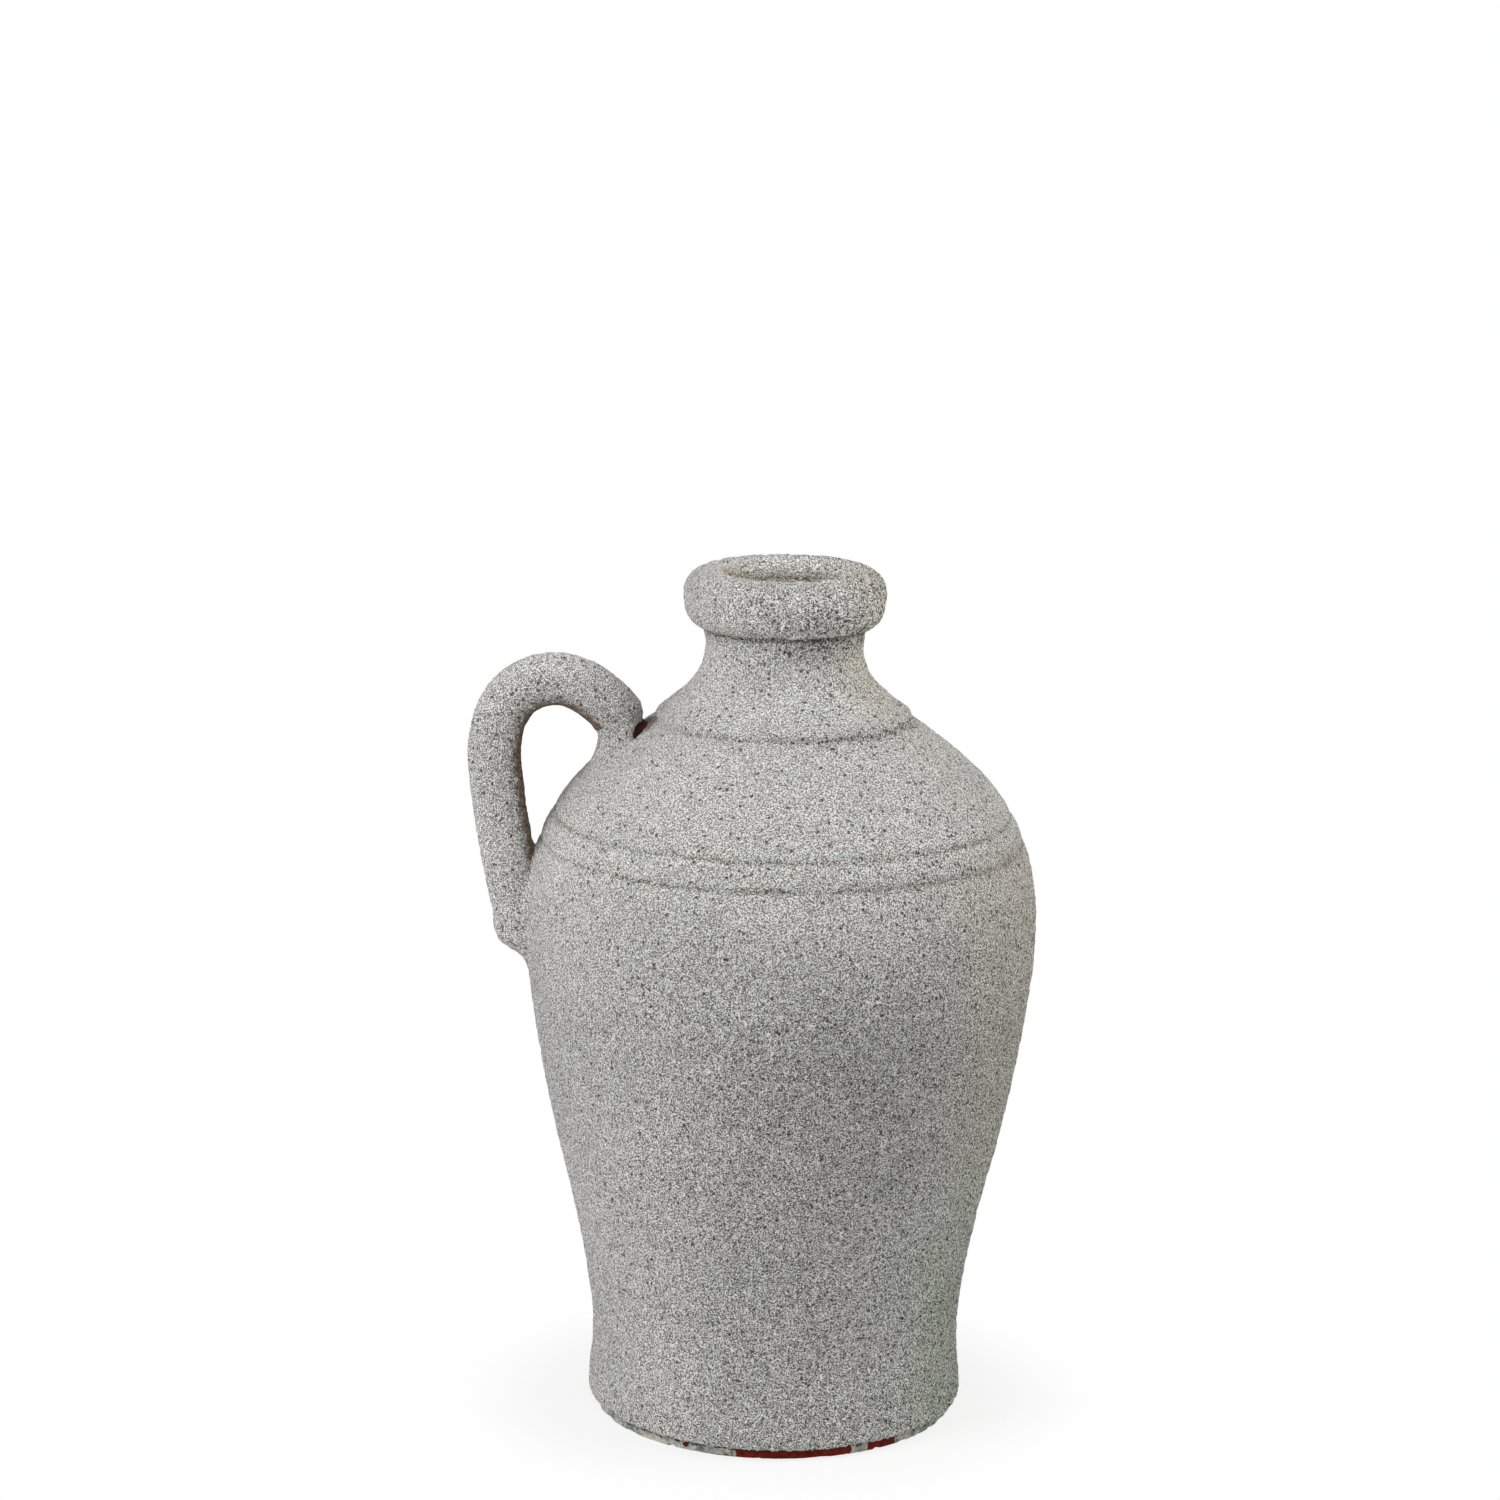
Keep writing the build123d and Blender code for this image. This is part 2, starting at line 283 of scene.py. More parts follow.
def smooth_min(a, b, k):
    """The lesser of two distances, rounded where they differ by less than k."""
    h = np.clip(0.5 + 0.5 * (b - a) / k, 0, 1)
    return b + (a - b) * h - k * h * (1 - h)


def body_distance(p):
    """Signed distance to the even outline of the body and neck, positive outside."""
    radius = np.interp(p[:, 2], wall[:, 1], wall[:, 0])
    slope = np.interp(p[:, 2], wall[:, 1], wall_slope)
    return (np.hypot(p[:, 0], p[:, 1]) - radius) / np.sqrt(1 + slope**2)


def uphill(p):
    """How far a point lies uphill of the handle's root."""
    place, _, downhill = seat_axes(root_seat, root_normal)
    return (p - place) @ -downhill


def handle_distance(p):
    """Signed distance to the roll and the clay smeared round its ends, before they meet the body."""
    place, out, _ = seat_axes(root_seat, root_normal)
    drawn = DRAW_BACK * fade(uphill(p) - DRAW_SLOPE * ((p - place) @ out), DRAW_FADE)
    root_clay = wad_distance(p, root_seat, root_normal, ROOT_WAD) + drawn
    tail_clay = wad_distance(p, tail_seat, tail_normal, TAIL_WAD)
    return smooth_min(roll_distance(p) - ROLL, np.minimum(root_clay, tail_clay), SMEAR_BLEND)


def joined_distance(p):
    """Distance to the handle blended into the body, and to each of them alone."""
    to_handle, to_body = handle_distance(p), body_distance(p)
    overhang = fade(uphill(p), OVERHANG) * fade(p[:, 2], OVERHANG_HEIGHT)
    rounding = blend((BODY_BLEND, TIGHT_BLEND), overhang)
    return smooth_min(to_handle, to_body, rounding), to_handle, to_body


# Mesh makers
def link(name, vertices, faces):
    """A smooth mesh from points in millimetres, quads or triangles in one table."""
    faces = np.asarray(faces, np.int32)
    mesh = bpy.data.meshes.new(name)
    mesh.vertices.add(len(vertices))
    mesh.vertices.foreach_set("co", (np.asarray(vertices) * MM).astype(np.float32).ravel())
    mesh.loops.add(faces.size)
    mesh.loops.foreach_set("vertex_index", faces.ravel())
    mesh.polygons.add(len(faces))
    mesh.polygons.foreach_set("loop_start", np.arange(0, faces.size, faces.shape[1], dtype=np.int32))
    mesh.polygons.foreach_set("use_smooth", np.full(len(faces), True))
    mesh.update(calc_edges=True)
    mesh.validate()
    obj = bpy.data.objects.new(name, mesh)
    bpy.context.scene.collection.objects.link(obj)
    return obj


def attribute(obj, name, values):
    """Keep one value per vertex under a name that materials can read."""
    obj.data.attributes.new(name, "FLOAT", "POINT").data.foreach_set("value", np.asarray(values, np.float32))


def resample(line, step):
    """The same line with its points an even step apart."""
    along = np.concatenate([[0], np.cumsum(np.linalg.norm(np.diff(line, axis=0), axis=1))])
    even = np.linspace(0, along[-1], int(along[-1] / step) + 1)
    return np.stack([np.interp(even, along, line[:, 0]), np.interp(even, along, line[:, 1])], axis=1)


def right_of(line):
    """Unit normals on the right of a line: away from the axis where it runs up."""
    tangent = np.gradient(line, axis=0)
    tangent /= np.linalg.norm(tangent, axis=1)[:, None]
    return np.stack([tangent[:, 1], -tangent[:, 0]], axis=1)


def turned(line, columns):
    """Points, normals and quads of a line turned round the axis."""
    angle = np.linspace(0, 2 * math.pi, columns, endpoint=False)

    def swung(pairs):
        across, height = pairs[:, 0], pairs[:, 1]
        x, y = np.outer(across, np.cos(angle)), np.outer(across, np.sin(angle))
        return np.stack([x, y, np.outer(height, np.ones(columns))], axis=-1).reshape(-1, 3)

    i, j = np.meshgrid(np.arange(len(line) - 1), np.arange(columns), indexing="ij")
    k = (j + 1) % columns
    quads = np.stack([i * columns + j, i * columns + k, (i + 1) * columns + k, (i + 1) * columns + j], -1)
    return swung(line), swung(right_of(line)), quads.reshape(-1, 4)


# Regions of the coat, as fades over height or azimuth
LOW, NOT_BEHIND = (150, 60), (150, 100)
RIGHT, FRONT, LEFT = ((-15, 50), NOT_BEHIND), ((-45, 5), (120, 70)), ((10, -30),)
COLLAR = ((250, 258), (296, 290))
ALL_ROUND = ()

# Painted shade as a line of small dark dots in the grooves, at the neck's foot and under the lip
GROOVE_SHADE_WIDTH, SKIRT_SHADE_WIDTH, LIP_SHADE_WIDTH = 0.75, 0.8, 0.75
SKIRT_SHADE_SHARE, LIP_SHADE_SHARE = 0.3, 1.8
LIP_SHADE_WITHIN = 31
SHADE_CLEAR_OF_HANDLE = (6, 12)
BREAK_SIZE, BREAK_MEAN, BREAK_CHANGE, BREAK_LEAST = 9.0, 0.85, 0.5, 0.4

# Brown uphill of the handle's root, by distance from its clay and from the body, and by place uphill
# It is bare clay where the coat did not reach, and painted shade in the crevice under the roll
CREVICE_FROM_CLAY, CREVICE_FROM_BODY, CREVICE_UPHILL = (2.6, 0.8), (1.2, 0.4), (3, 6)

# Side of the handle's roll that faces the finger's hole, by share of the roll's radius
# There the coat is thin over the brown clay, and painted shade darkens it
HOLE_SIDE, ROLL_SKIN, OFF_BODY = (0.30, 1.05), 1.2, 1.0

# How densely each stretch is pitted, the first three on the right only, and where two of them lie
PITS_LIP, PITS_SKIRT, PITS_RIGHT, PITS_HOLE_SIDE, PITS_HANDLE = 1.5, 1.1, 0.15, 0.8, 0.06
PITS_LIP_HEIGHTS, PITS_SKIRT_WIDTH = ((294, 284), (270, 281)), 1.8

# Tints of the right side: where they begin, what they lose towards the back, and what the warm one
# loses low down and on the dome
# The warm tint is painted warm light reflected onto the right side
TINT_FADE, TINT_BACK_FADE, TINT_BACK_LOSS = (20, 70), (80, 120), 0.5
WARM_LOW_LOSS, WARM_DOME_LOSS, DOME = 0.6, 0.7, ((200, 215), (262, 250))

# Stains in the mouth
THROAT_STAIN, YELLOW_HEIGHTS, YELLOW_PLACE = (298, 293), ((300, 298.4), (284, 289)), (-104, 22)

# Painted light and painted shade as lighter and darker patches: how much, and the heights and azimuths that
# each fades over
BASE_TONE = 1.20
PAINTED_LIGHT_AND_SHADE = (
    (-0.06, ((294, 298),), ALL_ROUND),
    (0.12, COLLAR, ALL_ROUND),
    (0.10, (*COLLAR, (274, 284)), RIGHT),
    (0.07, (*COLLAR, (255, 263)), FRONT),
    (0.10, ((205, 215),), RIGHT),
    (0.09, ((205, 200), (150, 175)), FRONT),
    (-0.14, ((170, 140),), FRONT),
    (0.084, ((170, 140), LOW), FRONT),
    (-0.06, ((170, 120),), FRONT),
    (0.05, (LOW,), ALL_ROUND),
    (-0.15, ((95, 55),), ((40, 70), NOT_BEHIND)),
    (0.05, ((50, 20),), ALL_ROUND),
)
# Painted light on a band of the body's left, high in the mouth and on the grip; painted shade on the belly's
# right and the arch
BAND_PAINTED_LIGHT, BAND_PLACE = 0.09, (208, 9)
BELLY_PAINTED_SHADE, BELLY_PLACE = -0.12, (180, 26)
MOUTH_PAINTED_LIGHT, MOUTH_FADE, MOUTH_WITHIN, MOUTH_CREST, CREST_CUT = 0.36, (288, 295), 24, (297, 300), 0.4
GRIP_PAINTED_LIGHT, GRIP_FADE, ARCH_PAINTED_SHADE, ARCH_FADE, OFF_BODY_FAR = 0.08, (222, 200), -0.10, (246, 262), 1.5

# Points this far to the handle's side and this high are near enough to it to be measured
NEAR_HANDLE_X, NEAR_HANDLE_ABOVE, FAR_AWAY = -30, 150, 50.0


class Places:
    """Where points of the coat lie, and the shares of the broad regions that its masks are made of."""

    def __init__(self, points):
        self.points = points
        self.height = points[:, 2]
        self.azimuth = azimuth(points)
        self.radius = np.hypot(points[:, 0], points[:, 1])
        self.near = (points[:, 0] < NEAR_HANDLE_X) & (self.height > NEAR_HANDLE_ABOVE)
        self.to_handle = self.where_near(handle_distance, FAR_AWAY)
        self.to_body = self.where_near(body_distance, FAR_AWAY)
        self.in_throat = (self.radius < THROAT_WITHIN) * (self.height > THROAT_ABOVE)
        self.on_neck = self.radius < NECK_WITHIN
        self.right, self.low = fade(self.azimuth, *RIGHT), fade(self.height, LOW)
        self.hole_side = self.where_near(self.facing_hole) * (self.to_body > OFF_BODY)

    def where_near(self, function, elsewhere=0.0):
        """A function of the points near the handle, and one value for all others."""
        values = np.full(len(self.points), elsewhere)
        values[self.near] = function(self.points[self.near])
        return values

    @staticmethod
    def facing_hole(p):
        """Share of the handle's roll that faces the finger's hole."""
        return fade(inner_side(p), HOLE_SIDE) * (roll_distance(p) < ROLL + ROLL_SKIN)


def crevice_mask(at):
    """Brown uphill of the handle's root: bare clay where the coat did not reach, and painted shade in the
    crevice.
    """
    def beside_clay(p):
        to_clay = wad_distance(p, root_seat, root_normal, ROOT_WAD)
        return fade(to_clay, CREVICE_FROM_CLAY) * fade(uphill(p), CREVICE_UPHILL)

    return at.where_near(beside_clay) * fade(at.to_body, CREVICE_FROM_BODY)


def shade_line_mask(at):
    """Painted shade as a broken dark line in the grooves and at the neck's foot, and a stronger one under
    the lip.
    """
    grooves = sum(bump_at(at.height, groove, GROOVE_SHADE_WIDTH) for groove in GROOVES) * (at.radius > BODY_BEYOND)
    skirt = bump_at(at.height, SKIRT_GROOVE[0], SKIRT_SHADE_WIDTH) * at.on_neck
    on_flare = (at.radius < LIP_SHADE_WITHIN) * (at.radius > NECK_BEYOND)
    under_lip = bump_at(at.height, LIP_SEAM[0], LIP_SHADE_WIDTH) * on_flare
    broken = np.clip(BREAK_MEAN + BREAK_CHANGE * noise(at.points, BREAK_SIZE, 1), BREAK_LEAST, 1)
    groove_and_step_shade = grooves * fade(at.to_handle, SHADE_CLEAR_OF_HANDLE) + SKIRT_SHADE_SHARE * skirt
    return broken * groove_and_step_shade + LIP_SHADE_SHARE * under_lip


def pits_mask(at):
    """How densely the coat is pitted: most on the right, under the lip and at the neck's foot."""
    under_lip = PITS_LIP * fade(at.height, *PITS_LIP_HEIGHTS)
    skirt = PITS_SKIRT * bump_at(at.height, SKIRT_GROOVE[0], PITS_SKIRT_WIDTH) * at.on_neck
    handle = PITS_HOLE_SIDE * at.hole_side + PITS_HANDLE * at.near * (at.to_body > OFF_BODY)
    return np.clip(at.right * (under_lip + skirt + PITS_RIGHT) + handle, 0, 1)


def side_masks(at):
    """Painted warm light on the right side, and green tint low down on it."""
    side = fade(at.azimuth, TINT_FADE) * (1 - TINT_BACK_LOSS * fade(at.azimuth, TINT_BACK_FADE))
    kept = (1 - WARM_LOW_LOSS * at.low) * (1 - WARM_DOME_LOSS * fade(at.height, *DOME))
    return at.right * side * kept, at.low * side * fade(at.azimuth, NOT_BEHIND)


def light_and_shade_tone(at):
    """How light the coat is, before its grains: a base tone with painted light and painted shade by place.
    """
    tone_and_painted_light = np.full(len(at.points), BASE_TONE)
    for amount, heights, azimuths in PAINTED_LIGHT_AND_SHADE:
        tone_and_painted_light += amount * fade(at.height, *heights) * fade(at.azimuth, *azimuths)
    on_body = at.radius > BODY_BEYOND
    tone_and_painted_light += BAND_PAINTED_LIGHT * fade(at.azimuth, *LEFT) * bump_at(at.height, *BAND_PLACE) * on_body
    tone_and_painted_light += BELLY_PAINTED_SHADE * at.right * bump_at(at.height, *BELLY_PLACE)
    in_mouth = (at.radius < MOUTH_WITHIN) * (at.height > THROAT_ABOVE)
    crest_cut = 1 - CREST_CUT * fade(at.height, MOUTH_CREST)
    tone_and_painted_light += MOUTH_PAINTED_LIGHT * in_mouth * fade(at.height, MOUTH_FADE) * crest_cut
    on_handle = at.near * (at.to_body > OFF_BODY_FAR)
    tone_and_painted_light += GRIP_PAINTED_LIGHT * on_handle * fade(at.height, GRIP_FADE)
    return tone_and_painted_light + ARCH_PAINTED_SHADE * on_handle * fade(at.height, ARCH_FADE)


def coat_masks(obj, points):
    """Masks that the coat's material reads, as named values on the mesh."""
    at = Places(points)
    warm_light, green = side_masks(at)
    yellow = bump_at(at.azimuth, *YELLOW_PLACE) * fade(at.height, *YELLOW_HEIGHTS)
    attribute(obj, "coarse", coarseness(points))
    # bare clay and painted shade in the crevice at the handle's root
    attribute(obj, "crevice", crevice_mask(at))
    # painted shade in the grooves, at the neck's foot and under the lip
    attribute(obj, "line", shade_line_mask(at))
    attribute(obj, "pits", pits_mask(at))
    # painted warm light on the right side
    attribute(obj, "warm_light", warm_light)
    attribute(obj, "green", green)
    # side of the handle facing the hole, where the coat is thin and painted shade darkens it
    attribute(obj, "inner", at.hole_side)
    attribute(obj, "throat", fade(at.height, THROAT_STAIN) * at.in_throat)
    attribute(obj, "yellow", yellow * (at.radius < THROAT_WITHIN))
    # base tone with painted light and painted shade
    attribute(obj, "tone_and_painted_light", light_and_shade_tone(at))


# Coat of the body. Its hem over the foot gives way to the belly's outline a little higher, and the
# mouth's outline loses its last points to the lining of the throat.
HEM = ((63.3, 4.7), (64.3, 4.0), (65.4, 3.95), (66.0, 4.6))
HEM_TOP, MOUTH_TRIM = 5.2, 3

# Lining of the throat: its depth inside the neck's outline, where it ends, how far it stands off the
# clay, how much of the relief it loses, and the heights over which the mouth's coat turns into it
LINING_DEPTH, LINING_END, LINING_GAP = 7.6, 264.0, 0.3
LINING_FLATTENED, LINING_FADE = 0.7, (297, 291)

# Turned grooves with a hand's sway and uneven pressure, and the faint swellings beside them
GROOVES = (205.6, 214.8)
GROOVE_HALF_WIDTH, GROOVE_DEPTH, GROOVE_SHARPNESS = 1.5, 0.8, 2.2
SWAY, SWAY_FIRST, SWAY_NEXT = 0.35, 40, 70
WOBBLE_SIZE, WOBBLE = 19.0, 0.22
PRESSURE_SIZE, PRESSURE, PRESSURE_CHANGE = 11.0, 0.8, 0.35
SWELLINGS = ((210.2, 2.6, 0.20), (200.6, 1.6, 0.16))

# Small step of the coat at the neck's foot, and the line where the lip sits on the neck: the height,
# width and depth of each, and how uneven they are
SKIRT_BEAD = (250.6, 1.5, 0.45)
SKIRT_GROOVE = (248.3, 0.9, 0.50)
LIP_SEAM = (280.1, 0.7, 0.65)
UNEVEN_SIZE, UNEVEN = 14.0, 0.5

# The lip rises a little towards the back
LIP_TILT, LIP_TILT_FADE = 0.65, (281, 293)


def lining():
    """Line of the throat's lining, downwards from the narrowest ring."""
    line = (neck - LINING_DEPTH * right_of(neck))[::-1]
    return line[(line[:, 1] > LINING_END) & (line[:, 1] < NARROWEST[1])]


def groove_cut(points, number, height):
    """How deep one of the grooves is at each point."""
    turn = np.radians(azimuth(points) + SWAY_FIRST + SWAY_NEXT * number)
    sway = SWAY * np.sin(turn) + WOBBLE * noise(points, WOBBLE_SIZE, 1)
    across = (points[:, 2] - height - sway) / GROOVE_HALF_WIDTH
    depth = GROOVE_DEPTH * (PRESSURE + PRESSURE_CHANGE * noise(points, PRESSURE_SIZE, 2))
    return depth * np.exp(-GROOVE_SHARPNESS * across**2)


def coat_offset(points):
    """How far the coat's surface stands off its even outline."""
    height, radius = points[:, 2], np.hypot(points[:, 0], points[:, 1])
    lined = fade(height, LINING_FADE) * (radius < THROAT_WITHIN) * (height > THROAT_ABOVE)
    offset = relief(points) * (1 - LINING_FLATTENED * lined) + LINING_GAP * lined
    on_body = radius > BODY_BEYOND
    for number, groove in enumerate(GROOVES):
        offset -= groove_cut(points, number, groove) * on_body
    for middle, width, rise in SWELLINGS:
        offset += rise * bump_at(height, middle, width) * on_body
    on_neck = (radius > NECK_BEYOND) * (radius < NECK_WITHIN)
    uneven = 1 + UNEVEN * noise(points, UNEVEN_SIZE, 0)
    for (middle, width, rise), sign in ((SKIRT_BEAD, 1), (SKIRT_GROOVE, -1), (LIP_SEAM, -1)):
        offset += sign * rise * bump_at(height, middle, width) * on_neck * uneven
    return offset


def coat_skin():
    """Coat of the body, neck and lip with its grooves, and the lining of the throat."""
    parts = (HEM, belly[belly[:, 1] > HEM_TOP], shoulder[1:], neck[1:], flare[1:], rim[1:])
    line = np.concatenate([*parts, mouth[1:-MOUTH_TRIM], lining()])
    points, normals, quads = turned(resample(line, STEP), COLUMNS)
    moved = points + normals * coat_offset(points)[:, None]
    to_back = 1 - np.cos(np.radians(azimuth(points)))
    moved[:, 2] += LIP_TILT * to_back * fade(points[:, 2], LIP_TILT_FADE)
    obj = link("coat_skin", moved, quads)
    coat_masks(obj, points)
    return obj


# Coat of the handle: the box it is meshed in and how much of its edge is dropped, the reach of its
# distance field, how far onto the body it is kept, and where it tucks under the body's coat
HANDLE_BOX = ((-113.0, -27.0, 150.0), (-38.0, 27.0, 277.0))
BOX_BORDER = 4 * VOXEL
FIELD_BAND = 3.0
KEPT_TO = 3.6
TUCK, TUCK_FADE = 0.35, (2.2, KEPT_TO)
SLOPE_SHIFT = 0.3


def coat_handle():
    """Coat of the handle and of the clay smeared round its ends, blended into the body."""
    low, high = np.array(HANDLE_BOX)
    counts = np.ceil((high - low) / VOXEL).astype(int)
    axes = np.meshgrid(*(low[k] + VOXEL * np.arange(counts[k]) for k in range(3)), indexing="ij")
    field = joined_distance(np.stack([axis.ravel() for axis in axes], axis=1))[0]
    grid = openvdb.FloatGrid(FIELD_BAND)
    grid.copyFromArray(np.clip(field, -FIELD_BAND, FIELD_BAND).reshape(counts).astype(np.float32))
    vertices, _, quads = grid.convertToPolygons(isovalue=0.0, adaptivity=0.0)
    vertices = vertices.astype(float) * VOXEL + low

    _, to_handle, to_body = joined_distance(vertices)
    in_box = (vertices > low + BOX_BORDER).all(axis=1) & (vertices < high - BOX_BORDER).all(axis=1)
    kept = (to_handle < to_body + KEPT_TO) & in_box
    quads = quads[kept[quads].all(axis=1)][:, ::-1]
    used, quads = np.unique(quads, return_inverse=True)
    vertices, beyond, quads = vertices[used], (to_handle - to_body)[used], quads.reshape(-1, 4)

    steps = SLOPE_SHIFT * np.eye(3)
    slopes = [joined_distance(vertices + step)[0] - joined_distance(vertices - step)[0] for step in steps]
    normals = np.stack(slopes, axis=1)
    normals /= np.linalg.norm(normals, axis=1)[:, None]
    offset = relief(vertices) - TUCK * fade(beyond, TUCK_FADE)
    obj = link("coat_handle", vertices + normals * offset[:, None], quads)
    coat_masks(obj, vertices)
    return obj


# Foot: its section from the middle of the bottom, and how far it keeps off the floor
FOOT_LINE = (
    (0.02, 0.35), (54.0, 0.25), (62.9, 0.0), (63.5, 0.35), (63.8, 1.0),
    (63.8, 4.2), (64.2, 6.5), (64.6, 8.4), (62.0, 8.8), (0.02, 8.8),
)
FLOOR_GAP = 0.02

# Chips out of its edge, as size, noise table, rarity and depth, and the grain of its clay
CHIPS = ((2.6, 1, 0.25, 0.9), (7.0, 2, 0.45, 1.4))
CHIPPED_RIM, CHIPPED_BELOW = (60, 63), 8
CLAY_GRAIN, CLAY_GRAIN_RISE = 1.2, 0.05

# Azimuths where its slip has come off, one small chip in the slip, and the bare underside
BARE_STRETCHES = ((-11.7, 25.6), (31.0, 41.5), (122.0, 149.0), (-148.0, -121.0))
SLIP_CHIP, SLIP_CHIP_HEIGHT, SLIP_CHIP_TAPER = (-29.4, -27.0), 2.2, 1.2
SLIP_CHIP_RAGGED = 0.5
UNDERSIDE_FADE, UNDERSIDE_BARE = (61, 58), 3

# Ragged edge of the bare places, as size, noise table and strength
RAGGED = ((2.0, 0, 0.8), (5.0, 1, 0.5))


def foot_edge():
    """Bare clay foot with chipped edges, and a mask of where its pale slip is gone."""
    points, normals, quads = turned(resample(np.array(FOOT_LINE), FOOT_STEP), FOOT_COLUMNS)
    height, radius = points[:, 2], np.hypot(points[:, 0], points[:, 1])
    chips = sum(np.minimum(noise(points, size, table) + rare, 0) * deep for size, table, rare, deep in CHIPS)
    grain = noise(points, CLAY_GRAIN, 3) * CLAY_GRAIN_RISE
    offset = chips * fade(radius, CHIPPED_RIM) * (height < CHIPPED_BELOW) + grain
    moved = points + normals * offset[:, None]
    moved[:, 2] = np.maximum(moved[:, 2], FLOOR_GAP)
    obj = link("foot_edge", moved, quads)
    az = azimuth(points)
    ragged = sum(noise(points, size, table) * strength for size, table, strength in RAGGED)

    def inside(first, last):
        return np.minimum(az - first, last - az) * math.pi / 180 * radius

    stretches = [inside(*stretch) + ragged for stretch in BARE_STRETCHES]
    chip = inside(*SLIP_CHIP) - SLIP_CHIP_TAPER * np.abs(height - SLIP_CHIP_HEIGHT)
    chip += SLIP_CHIP_RAGGED * ragged
    underside = fade(radius, UNDERSIDE_FADE) * UNDERSIDE_BARE + ragged - 1
    attribute(obj, "bare", np.maximum.reduce([*stretches, chip, underside]))
    return obj


# Materials
def rgb(r, g, b):
    """A colour given as 0-255 screen values, in linear light."""
    out = [c / 255 for c in (r, g, b)]
    return (*[c / 12.92 if c <= 0.04045 else ((c + 0.055) / 1.055) ** 2.4 for c in out], 1)


class Nodes:
    """A material whose nodes are added by short calls."""

    def __init__(self, name):
        self.material = bpy.data.materials.new(name)
        self.material.use_nodes = True
        self.tree = self.material.node_tree
        self.tree.nodes.clear()
        self.out = self.tree.nodes.new("ShaderNodeOutputMaterial")
        self.shader = self.tree.nodes.new("ShaderNodeBsdfPrincipled")
        self.tree.links.new(self.shader.outputs[0], self.out.inputs[0])
        self.coords = self.tree.nodes.new("ShaderNodeTexCoord").outputs["Object"]

    def put(self, socket, value):
        """Link a socket to another, or set its value."""
        if isinstance(value, bpy.types.NodeSocket):
            self.tree.links.new(value, socket)
        elif value is not None:
            socket.default_value = value

    def noise(self, scale, detail=2.0, rough=0.5, distortion=0.0):
        """Noise from 0 to 1 in the mesh's own coordinates."""
        n = self.tree.nodes.new("ShaderNodeTexNoise")
        settings = (("Scale", scale), ("Detail", detail), ("Roughness", rough), ("Distortion", distortion))
        for name, value in settings:
            n.inputs[name].default_value = value
        self.tree.links.new(self.coords, n.inputs["Vector"])
        return n.outputs[0]

    def cells(self, scale):
        """Distance to the nearest of scattered points, and a random colour of that point."""
        n = self.tree.nodes.new("ShaderNodeTexVoronoi")
        n.inputs["Scale"].default_value = scale
        self.tree.links.new(self.coords, n.inputs["Vector"])
        return n.outputs["Distance"], n.outputs["Color"]

    def math(self, operation, a, b=None, c=None):
        """A sum or product of sockets and numbers."""
        n = self.tree.nodes.new("ShaderNodeMath")
        n.operation = operation
        for socket, value in zip(n.inputs, (a, b, c)):
            self.put(socket, value)
        return n.outputs[0]

    def ramp(self, value, low, high, to_low=0.0, to_high=1.0):
        """A smooth step of a value from low to high."""
        n = self.tree.nodes.new("ShaderNodeMapRange")
        n.interpolation_type = "SMOOTHSTEP"
        ends = {"Value": value, "From Min": low, "From Max": high, "To Min": to_low, "To Max": to_high}
        for name, end in ends.items():
            self.put(n.inputs[name], end)
        return n.outputs[0]

    def mix(self, factor, a, b):
        """A colour between two."""
        n = self.tree.nodes.new("ShaderNodeMix")
        n.data_type = "RGBA"
        for socket, value in ((0, factor), (6, a), (7, b)):
            self.put(n.inputs[socket], value)
        return n.outputs[2]

    def scale(self, colour, factor):
        """A colour times a number."""
        n = self.tree.nodes.new("ShaderNodeVectorMath")
        n.operation = "SCALE"
        self.put(n.inputs[0], colour)
        self.put(n.inputs["Scale"], factor)
        return n.outputs[0]

    def read(self, name):
        """A named value of the mesh."""
        n = self.tree.nodes.new("ShaderNodeAttribute")
        n.attribute_name = name
        return n.outputs["Fac"]

    def split(self):
        """The three coordinates of the place that is shaded."""
        n = self.tree.nodes.new("ShaderNodeSeparateXYZ")
        self.tree.links.new(self.coords, n.inputs[0])
        return n.outputs

    def bump(self, height, distance):
        """A normal that is tilted by a height, which is scaled by a distance in metres."""
        n = self.tree.nodes.new("ShaderNodeBump")
        n.inputs["Distance"].default_value = distance
        self.tree.links.new(height, n.inputs["Height"])
        return n.outputs[0]

    def finish(self, colour, roughness, normal, specular=0.2):
        """Set what the shader shows, and give the material."""
        self.put(self.shader.inputs["Base Color"], colour)
        self.put(self.shader.inputs["Roughness"], roughness)
        self.shader.inputs["Specular IOR Level"].default_value = specular
        self.tree.links.new(normal, self.shader.inputs["Normal"])
        return self.material


# Noises as scale per metre, detail, roughness and distortion, and bumps as their height in metres
GRAINS, WINDING = (2050.0, 1.0, 0.4, 0.2), (620.0, 1.0, 0.5, 0.6)
CLOUDS, MOSS, THIN_COAT_SPOTS = (16.0, 3.0, 0.6), (34.0, 2.0, 0.5), (520.0, 3.0, 0.6)
CLAY_FINE, CLAY_PATCHES = (700.0, 3.0, 0.6), (260.0, 3.0, 0.6)
FOOT_FINE, TEARS = (520.0, 3.0, 0.6), (420.0, 4.0, 0.65)
SLIP_CLOUDS, CRACKS = (230.0, 3.0, 0.65), (300.0, 3.0, 0.6, 0.8)
NOISE_MIDDLE = 0.5
GRIT_BUMP, CLAY_BUMP, SLIP_BUMP = 0.0007, 0.0003, 0.0005
GRIT_ROUGHNESS, CLAY_ROUGHNESS, SLIP_ROUGHNESS, FLOOR_ROUGHNESS = 0.95, 0.9, 0.85, 0.9

